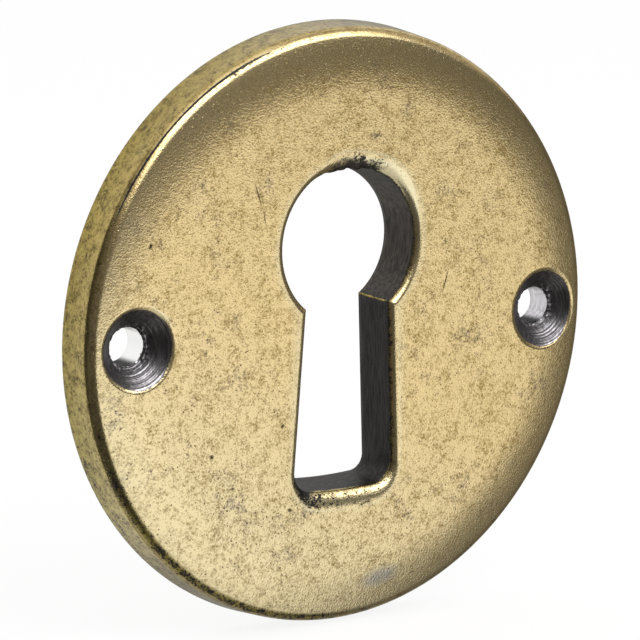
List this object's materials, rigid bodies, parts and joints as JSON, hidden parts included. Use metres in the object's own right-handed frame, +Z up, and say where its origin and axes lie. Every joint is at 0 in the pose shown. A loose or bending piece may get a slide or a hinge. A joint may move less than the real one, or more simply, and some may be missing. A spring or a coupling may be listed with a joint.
{
  "type": "keyhole escutcheon",
  "caption": "Round cast keyhole plate with a soft shoulder, a drafted keyhole with a rounded lip and countersunk screw holes, in antique brass finish, for a cabinet door or drawer.",
  "frame": {"origin": "middle of the flat back face, on the axis of the round plate and halfway between the screw holes", "axes": "+Y into the door, square to the back face; -Y out of the face; +Z up, with the keyhole's circle above its slot; +X to the right seen from the front"},
  "size_m": [0.038, 0.0031, 0.038],
  "materials": {
    "antique_brass": "satin antique brass over die-cast zinc alloy, dark in the recesses"
  },
  "bodies": {
    "root": {"escutcheon_plate": "antique_brass"}
  },
  "joints": []
}
